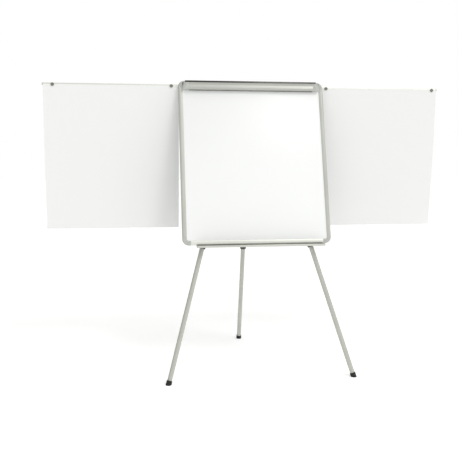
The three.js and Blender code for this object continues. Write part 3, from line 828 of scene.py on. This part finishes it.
class EASEL_OT_tray(bpy.types.Operator):
    """Finish the pen tray, its end caps and the screws under its flange."""

    bl_idname = "easel.tray"
    bl_label = "Pen tray"

    flange_depth = 9 * MM
    flange_under = -2.3 * MM
    first_screw, screw_pitch = -310 * MM, 165 * MM

    def bent(self, piece):
        round_edges(piece, 0.8 * MM, 3, lambda p, q: abs(p.x - q.x) > 0.3)

    def execute(self, context):
        refine("pen_tray", finish("tray_grey"), "frame_grey", self.bent, width=0.2 * MM)
        for side in SIDES:
            refine(f"tray_end_{side}", finish("grey_plastic"), "grey_plastic", width=sizes().plastic_edge)
        seats = []
        down = Matrix.Rotation(math.pi / 2, 4, "X")
        for i in range(5):
            x = self.first_screw + self.screw_pitch * i
            seats.append(BOARD.matrix(x, self.flange_depth, self.flange_under) @ down)
        screws("tray_screws", seats, "bright_steel")
        return {"FINISHED"}


class EASEL_OT_clamp(bpy.types.Operator):
    """Finish the pad clamp: bar, caps, grip, base, pins and springs."""

    bl_idname = "easel.clamp"
    bl_label = "Pad clamp"

    base_front, screw_line = -3.3 * MM, 994 * MM

    def spring(self, side):
        """A coil drawn by screwing a wire's circle round the pin."""
        node = f"clamp_spring_{side}"
        low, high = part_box(node)
        wire, turns, steps = 0.45 * MM, 5, 24
        centre = (low + high) / 2
        radius = (high.z - low.z) / 2 - wire
        run = high.x - low.x - 2 * wire
        deselect()
        bpy.ops.mesh.primitive_circle_add(vertices=10, radius=wire, fill_type="NOTHING",
                                          location=(radius, 0, 0), rotation=(math.pi / 2, 0, 0))
        piece = named(f"{node}_coil")
        bpy.ops.object.transform_apply(location=True, rotation=True)
        modify(piece, "SCREW", axis="Z", angle=2 * math.pi, screw_offset=run / turns, iterations=turns,
               steps=steps, render_steps=steps, use_merge_vertices=False)
        bpy.ops.object.mode_set(mode="EDIT")
        bpy.ops.mesh.select_mode(type="VERT")
        bpy.ops.mesh.select_all(action="DESELECT")
        bpy.ops.mesh.select_non_manifold()
        bpy.ops.mesh.fill_holes(sides=0)
        bpy.ops.mesh.select_all(action="SELECT")
        bpy.ops.mesh.normals_make_consistent(inside=False)
        bpy.ops.object.mode_set(mode="OBJECT")
        start = Matrix.Translation(centre - Vector((run / 2, 0, 0)))
        place(piece, start @ Matrix.Rotation(math.pi / 2, 4, "Y"))
        smooth(piece, 60)
        give(piece, finish("bright_steel"), body_of(node), "bright_steel", node)

    def bent(self, piece):
        round_edges(piece, 0.6 * MM, 2, lambda p, q: abs(p.x - q.x) > 0.3)

    def execute(self, context):
        s = sizes()
        refine("clamp_bar", finish("clamp_grey"), "frame_grey", self.bent, width=0, angle=50)
        refine("clamp_grip", finish("black_rubber"), "black_rubber", width=1.2 * MM)
        refine("clamp_base", finish("black_steel"), "black_steel", width=s.edge_break)
        for side in SIDES:
            refine(f"clamp_cap_{side}", finish("grey_plastic"), "grey_plastic", width=s.plastic_edge)
            refine(f"clamp_pin_{side}", finish("bright_steel"), "bright_steel", width=s.edge_break)
            refine(f"pad_peg_{side}", finish("dark_plastic"), "dark_plastic", width=0.5 * MM)
            self.spring(side)
        seats = [board_seat(x * MM, self.base_front, self.screw_line, "towards viewer")
                 for x in (-370, -185, 0, 185, 370)]
        screws("clamp_base_screws", seats, "black_steel", radius=2.8 * MM)
        return {"FINISHED"}


# ---- the side arms -----------------------------------------------------------------------------

class EASEL_OT_arms(bpy.types.Operator):
    """Finish the side arms, their end caps and their guides."""

    bl_idname = "easel.arms"
    bl_label = "Side arms"

    guide_back, screw_line = 21.9 * MM, 995 * MM

    def drawn(self, piece):
        round_edges(piece, 0.4 * MM, 2, lambda p, q: abs(p.x - q.x) > 0.3)

    def execute(self, context):
        s = sizes()
        for side in SIDES:
            refine(f"arm_{side}", finish("arm_grey"), "frame_grey", self.drawn, width=0)
            refine(f"arm_cap_{side}", finish("grey_plastic"), "grey_plastic", width=s.plastic_edge)
            refine(f"arm_guide_{side}", finish("zinc_sheet"), "zinc_sheet", width=0.3 * MM)
        seats = []
        for x in (70, 340):
            for sign in (-1, 1):
                for shift in (-7, 7):
                    seats.append(board_seat((sign * x + shift) * MM, self.guide_back, self.screw_line))
        screws("guide_screws", seats, "bright_steel", radius=2.6 * MM)
        return {"FINISHED"}


class EASEL_OT_magnets(bpy.types.Operator):
    """Turn the round magnets: a housing rounded over its rim, with a thumb hollow on top and a grooved
    skirt.
    """

    bl_idname = "easel.magnets"
    bl_label = "Magnets"

    def housing(self):
        radius, thick = 10 * MM, 6 * MM
        skirt = arc_profile(1.6 * MM, (radius - 1.6 * MM, thick - 1.8 * MM), 0, 80)
        dish = [(radius * 0.72, thick), (radius * 0.6, thick - 0.15 * MM), (radius * 0.4, thick - 0.8 * MM),
                (radius * 0.2, thick - 1.1 * MM), (radius * 0.04, thick - 1.15 * MM)]
        piece = turned("magnet_housing", [(radius - 0.6 * MM, 0), (radius, 0.6 * MM), (radius, 1.4 * MM),
                                          (radius - 0.3 * MM, 1.7 * MM), (radius, 2 * MM), *skirt, *dish])
        smooth(piece, 40)
        return piece

    def execute(self, context):
        model = self.housing()
        for side in SIDES:
            for end in ("inner", "outer"):
                node = f"magnet_{side}_{end}"
                places = [BOARD.local(v.co) for v in frame["nodes"][node].data.vertices]
                x = (min(p.x for p in places) + max(p.x for p in places)) / 2
                height = (min(p.z for p in places) + max(p.z for p in places)) / 2
                back = max(p.y for p in places)
                piece = own_copy(model, f"{node}_finished", BOARD.matrix(x, back, height))
                smooth(piece, 40)
                give(piece, finish("magnet_grey"), body_of(node), "magnet_grey", node)
        remove(model)
        return {"FINISHED"}


class EASEL_OT_sheets(bpy.types.Operator):
    """Hang the two paper sheets from their arms."""

    bl_idname = "easel.sheets"
    bl_label = "Paper sheets"

    width, drop = 0.8, 0.866      # as cut, flat
    across = 72
    down = 90
    steps = 360                   # along the drop
    curls = {"left": 0.055, "right": 0.075}

    def hang(self, side):
        node = f"paper_sheet_{side}"
        places = [BOARD.local(v.co) for v in frame["nodes"][node].data.vertices]
        left = min(p.x for p in places)
        top = max(p.z for p in places)
        depth = min(p.y for p in places if p.z > top - 1 * MM) + 0.5 * MM
        bend, radius = 8 * MM, 6 * MM
        tilt = math.acos(BOARD.up.z)
        deselect()
        bpy.ops.mesh.primitive_grid_add(x_subdivisions=self.across, y_subdivisions=self.down, size=1)
        piece = named(f"{node}_finished")
        wave = sizes().paper_wave
        phase = 0.6 if side == "left" else 2.1

        def fall():
            """The sheet's line from its top edge down: offsets behind and below the top."""
            y, z, line = 0, 0, [(0, 0)]
            for i in range(self.steps):
                t = self.drop * (i + 0.5) / self.steps
                turn = min(1, max(0, (t - bend) / radius))
                angle = -tilt * (1 - turn * turn * (3 - 2 * turn))
                angle += self.curls[side] * turn * t / self.drop
                y += math.sin(angle) * self.drop / self.steps
                z -= math.cos(angle) * self.drop / self.steps
                line.append((y, z))
            return line

        corner = BOARD.world(left, depth, top)
        line = fall()
        for vertex in piece.data.vertices:
            s, t = vertex.co.x + 0.5, 0.5 - vertex.co.y
            y, z = line[round(t * self.steps)]
            ripple = wave * t * (0.6 + 0.4 * t) * math.sin(2 * math.pi * 1.4 * s + phase + 1.5 * t)
            vertex.co = (corner.x + s * self.width, corner.y + y + ripple, corner.z + z)
        modify(piece, "SOLIDIFY", thickness=sizes().paper, offset=0)
        bpy.ops.object.mode_set(mode="EDIT")
        bpy.ops.mesh.select_all(action="SELECT")
        bpy.ops.mesh.normals_make_consistent(inside=False)
        bpy.ops.object.mode_set(mode="OBJECT")
        smooth(piece, 50)
        give(piece, finish("paper_white"), body_of(node), "paper_white", node)

    def execute(self, context):
        for side in SIDES:
            self.hang(side)
        return {"FINISHED"}


# ---- hub and legs ------------------------------------------------------------------------------

class EASEL_OT_hub(bpy.types.Operator):
    """Finish the hub plate, the leg bolts and the hub's screws."""

    bl_idname = "easel.hub"
    bl_label = "Hub"

    plate_back = 20.1 * MM
    head, washer = 5 * MM, 0.9 * MM      # of a leg bolt; its head takes in the washer

    def plate(self, piece):
        def corner_edge(p, q):
            a, b = BOARD.local(p), BOARD.local(q)
            return abs(a.y - b.y) > 3 * MM and near(a.x, b.x) and near(a.z, b.z) and abs(a.x) > 100 * MM
        round_edges(piece, 12 * MM, 5, corner_edge)

    def bolt(self, node, across):
        """A hexagon bolt with a washer, in the place of a plain CAD bolt."""
        places = [v.co for v in frame["nodes"][node].data.vertices]
        axis = Vector((1, 0, 0)) if across else -BOARD.front
        low = min(p.dot(axis) for p in places)
        high = max(p.dot(axis) for p in places)
        middle = sum(places, Vector()) / len(places)
        start = middle + axis * (low - middle.dot(axis))
        end = high - low
        seat, under_head = end - self.head, end - self.head + self.washer
        shank = turned("bolt_shank", [(3.4 * MM, 0), (4 * MM, 0.6 * MM), (4 * MM, seat)], segments=24)
        washer = turned("bolt_washer", [(4 * MM, seat), (7.9 * MM, seat), (7.9 * MM, under_head),
                                        (4 * MM, under_head)], segments=32)
        deselect()
        bpy.ops.mesh.primitive_cylinder_add(vertices=6, radius=7.4 * MM, depth=end - under_head,
                                            location=(0, 0, (end + under_head) / 2))
        top = named("bolt_head")
        bpy.ops.object.transform_apply(location=True)
        soften(top, 0.7 * MM, 2, 60)
        piece = join(f"{node}_finished", shank, washer, top)
        place(piece, Matrix.Translation(start) @ UP.rotation_difference(axis).to_matrix().to_4x4())
        smooth(piece, 30)
        give(piece, finish("bright_steel"), body_of(node), "bright_steel", node)

    def execute(self, context):
        refine("hub_plate", finish("hub_steel"), "hub_steel", self.plate, width=0.5 * MM)
        for leg in LEGS:
            self.bolt(f"leg_bolt_{leg}", leg == "rear")
        seats = []
        for out, heights in ((96, (874, 946)), (34, (870, 950))):
            for x in (-out, out):
                seats += [board_seat(x * MM, self.plate_back, height * MM) for height in heights]
        screws("hub_screws", seats, "bright_steel", radius=4.2 * MM)
        return {"FINISHED"}


class EASEL_OT_legs(bpy.types.Operator):
    """Finish the heads, tubes, bushes, twist collars and rubber feet."""

    bl_idname = "easel.legs"
    bl_label = "Legs"

    def tube(self, node, matrix, bead):
        low, high, inner, outer = span(node, matrix)
        lip = 0.5 * MM
        profile = [(inner, low + lip), (inner + lip / 2, low), (outer - lip, low), (outer, low + lip)]
        if bead:
            for height in (26 * MM, 34 * MM):
                profile += [(outer, low + height - 3 * MM), (outer - 0.5 * MM, low + height - 1 * MM),
                            (outer - 0.5 * MM, low + height + 1 * MM), (outer, low + height + 3 * MM)]
        profile += [(outer, high - lip), (outer - lip, high), (inner + lip / 2, high), (inner, high - lip),
                    (inner, low + lip)]
        piece = turned(f"{node}_finished", profile, segments=56, closed=True)
        place(piece, matrix)
        smooth(piece, 30)
        give(piece, finish("leg_grey"), body_of(node), "leg_grey", node)

    def collar(self, node, matrix):
        low, high, inner, outer = span(node, matrix)
        bore = inner + 2.8 * MM
        edge = 2 * MM
        profile = [(inner, low), (outer - edge, low),
                   *arc_profile(edge, (outer - edge, low + edge), -70, 0, 4),
                   (outer, low + 6 * MM), (outer, high - 6 * MM),
                   *arc_profile(edge, (outer - edge, high - edge), 0, 70, 4),
                   (bore, high), (bore, low + 3 * MM), (inner, low + 3 * MM), (inner, low)]
        piece = turned(f"{node}_finished", profile, segments=72, closed=True)
        select(piece, "FACE", lambda face: near(abs(face.center.z - (low + high) / 2), 0, 4 * MM)
               and math.hypot(face.center.x, face.center.y) > outer - 0.6 * MM
               and round(math.degrees(math.atan2(face.center.y, face.center.x)) / 5 - 0.5) % 3 == 0)
        bpy.ops.mesh.inset(thickness=0.35 * MM, depth=-0.9 * MM, use_individual=True)
        bpy.ops.object.mode_set(mode="OBJECT")
        place(piece, matrix)
        smooth(piece, 35)
        give(piece, finish("dark_plastic"), body_of(node), "dark_plastic", node)

    def foot(self, node, matrix, tube_node):
        low, high, _, outer = span(node, matrix)
        bore = span(tube_node, matrix)[3] + 0.3 * MM
        seat = span(tube_node, matrix)[0] - 0.3 * MM
        rib, groove, wide, slope = 1.1 * MM, 0.9 * MM, 1.8 * MM, 0.5 * MM
        profile = [(bore * 0.05, low - 6 * MM), (outer, low - 6 * MM)]
        height = seat - 4 * MM
        profile.append((outer, height))
        for _ in range(3):
            profile += [(outer - groove, height + slope), (outer - groove, height + wide - slope),
                        (outer, height + wide), (outer, height + wide + rib)]
            height += wide + rib
        lip = 1.2 * MM
        profile += [*arc_profile(lip, (outer - lip, high - lip), 0, 80, 4), (bore + 0.2 * MM, high),
                    (bore, high - 0.4 * MM), (bore, seat), (bore * 0.05, seat)]
        piece = turned(f"{node}_finished", profile, segments=56)
        place(piece, matrix)
        bpy.ops.object.mode_set(mode="EDIT")
        bpy.ops.mesh.select_all(action="SELECT")
        bpy.ops.mesh.bisect(plane_co=(0, 0, 0), plane_no=(0, 0, 1), use_fill=True, clear_inner=True)
        bpy.ops.object.mode_set(mode="OBJECT")
        smooth(piece, 35)
        give(piece, finish("black_rubber"), body_of(node), "black_rubber", node)

    def execute(self, context):
        for leg in LEGS:
            matrix = leg_matrix(leg)
            self.tube(f"upper_tube_{leg}", matrix, False)
            self.tube(f"lower_tube_{leg}", matrix, True)
            self.collar(f"twist_collar_{leg}", matrix)
            self.foot(f"rubber_foot_{leg}", matrix, f"lower_tube_{leg}")
            refine(f"leg_head_{leg}", finish("dark_plastic"), "dark_plastic", width=0.8 * MM, angle=32)
            refine(f"guide_bush_{leg}", finish("dark_plastic"), "dark_plastic", width=0.2 * MM)
        return {"FINISHED"}


# ---- the stage ---------------------------------------------------------------------------------

class EASEL_OT_stage(bpy.types.Operator):
    """Lay the floor and set the sky, the key light and the camera."""

    bl_idname = "easel.stage"
    bl_label = "Floor, lights and camera"

    camera_place = (-0.79513, -4.41047)
    yaw, pitch, roll = (math.radians(a) for a in (8.691, -8.113, 0.432))
    floor_size = 30
    sun_from = Vector((0.66, -1, 1.3))
    sun_spread = math.radians(18)
    bright_side = (0.5, -0.87, 0)
    side_map = {"From Min": -0.8, "From Max": 0.45, "To Min": 0.24, "To Max": 1.0}
    # places from straight down, 0, to straight up, 1, and the sky's brightness at each
    sky_bands = ((0.6, 1.0), (0.7, 0.95), (0.76, 0.75), (0.81, 0.55), (0.9, 0.7), (1.0, 1.5))

    def floor(self, context):
        deselect()
        bpy.ops.mesh.primitive_grid_add(x_subdivisions=4, y_subdivisions=4, size=self.floor_size)
        piece = named("studio_floor")
        piece.data.materials.append(finish("floor"))

    def sky(self, context, strength):
        """A sky that dims to the back and left and in a band above, and plain white behind the easel."""
        world = bpy.data.worlds.new("studio_sky")
        context.scene.world = world
        world.use_nodes = True
        tree = world.node_tree

        def add(kind, **settings):
            node = tree.nodes.new(kind)
            for key, value in settings.items():
                setattr(node, key, value)
            return node

        direction = add("ShaderNodeTexCoord").outputs["Generated"]
        parts = add("ShaderNodeSeparateXYZ")
        tree.links.new(direction, parts.inputs["Vector"])
        facing = add("ShaderNodeVectorMath", operation="DOT_PRODUCT")
        facing.inputs[1].default_value = self.bright_side
        tree.links.new(direction, facing.inputs[0])
        side = add("ShaderNodeMapRange", interpolation_type="SMOOTHSTEP")
        for key, number in self.side_map.items():
            side.inputs[key].default_value = number
        tree.links.new(facing.outputs["Value"], side.inputs["Value"])
        lift = add("ShaderNodeMapRange")
        lift.inputs["From Min"].default_value = -1
        tree.links.new(parts.outputs["Z"], lift.inputs["Value"])
        bands = add("ShaderNodeValToRGB")
        while len(bands.color_ramp.elements) < len(self.sky_bands):
            bands.color_ramp.elements.new(1)
        for element, (position, level) in zip(bands.color_ramp.elements, self.sky_bands):
            element.position = position
            element.color = (level, level, level * 0.985, 1)
        tree.links.new(lift.outputs["Result"], bands.inputs["Fac"])
        power = add("ShaderNodeMath", operation="MULTIPLY")
        power.inputs[1].default_value = strength
        tree.links.new(side.outputs["Result"], power.inputs[0])
        lit = tree.nodes["Background"]
        tree.links.new(bands.outputs["Color"], lit.inputs["Color"])
        tree.links.new(power.outputs["Value"], lit.inputs["Strength"])
        white = add("ShaderNodeBackground")
        white.inputs["Color"].default_value = (1, 1, 1, 1)
        mix = add("ShaderNodeMixShader")
        tree.links.new(add("ShaderNodeLightPath").outputs["Is Camera Ray"], mix.inputs["Fac"])
        tree.links.new(lit.outputs["Background"], mix.inputs[1])
        tree.links.new(white.outputs["Background"], mix.inputs[2])
        tree.links.new(mix.outputs["Shader"], tree.nodes["World Output"].inputs["Surface"])

    def key(self, strength):
        deselect()
        bpy.ops.object.light_add(type="SUN", location=self.sun_from * 5)
        light = bpy.context.active_object
        light.name = "key_light"
        light.rotation_euler = self.sun_from.to_track_quat("Z", "Y").to_euler()
        light.data.energy = strength
        light.data.angle = self.sun_spread

    def camera(self, context, stage):
        yaw, pitch, roll = self.yaw, self.pitch, self.roll
        ahead = Vector((math.sin(yaw), math.cos(yaw), 0))
        forward = ahead * math.cos(pitch) + UP * math.sin(pitch)
        level = Vector((math.cos(yaw), -math.sin(yaw), 0))
        raised = level.cross(forward)
        right = level * math.cos(roll) + raised * math.sin(roll)
        upward = raised * math.cos(roll) - level * math.sin(roll)
        deselect()
        bpy.ops.object.camera_add()
        camera = bpy.context.active_object
        camera.name = "easel_camera"
        camera.data.lens = stage.lens
        camera.data.sensor_width = 36
        camera.data.sensor_fit = "HORIZONTAL"
        turn = Matrix((right, upward, -forward)).transposed().to_4x4()
        camera.matrix_world = Matrix.Translation((*self.camera_place, stage.camera_height)) @ turn
        context.scene.camera = camera

    def execute(self, context):
        stage = context.scene.easel_stage
        self.floor(context)
        self.sky(context, stage.sky)
        self.key(stage.sun)
        self.camera(context, stage)
        context.scene.view_settings.view_transform = "Standard"
        return {"FINISHED"}


# ---- panel, registration and main --------------------------------------------------------------

OPERATORS = (EASEL_OT_stage, EASEL_OT_panel, EASEL_OT_frame, EASEL_OT_tray, EASEL_OT_clamp, EASEL_OT_arms,
             EASEL_OT_magnets, EASEL_OT_sheets, EASEL_OT_hub, EASEL_OT_legs)


class EASEL_PT_panel(bpy.types.Panel):
    """Lists the easel's sizes, colours and pieces."""

    bl_idname = "EASEL_PT_panel"
    bl_label = "Flipchart easel"
    bl_space_type = "VIEW_3D"
    bl_region_type = "UI"
    bl_category = "Easel"

    def draw(self, context):
        scene = context.scene
        for group in (scene.easel_sizes, scene.easel_colours, scene.easel_stage):
            box = self.layout.box()
            for name in group.bl_rna.properties.keys():
                if name not in ("rna_type", "name"):
                    box.prop(group, name)
        for operator in OPERATORS:
            self.layout.operator(operator.bl_idname)


GROUPS = {"easel_sizes": EaselSizes, "easel_colours": EaselColours, "easel_stage": EaselStage}


def register():
    for cls in (*GROUPS.values(), *OPERATORS, EASEL_PT_panel):
        bpy.utils.register_class(cls)
    for name, group in GROUPS.items():
        setattr(bpy.types.Scene, name, PointerProperty(type=group))


def unregister():
    for name in GROUPS:
        delattr(bpy.types.Scene, name)
    for cls in reversed((*GROUPS.values(), *OPERATORS, EASEL_PT_panel)):
        bpy.utils.unregister_class(cls)


def main():
    register()
    for operator in OPERATORS:
        category, name = operator.bl_idname.split(".")
        getattr(getattr(bpy.ops, category), name)()
    deselect()


if __name__ == "__main__":
    main()
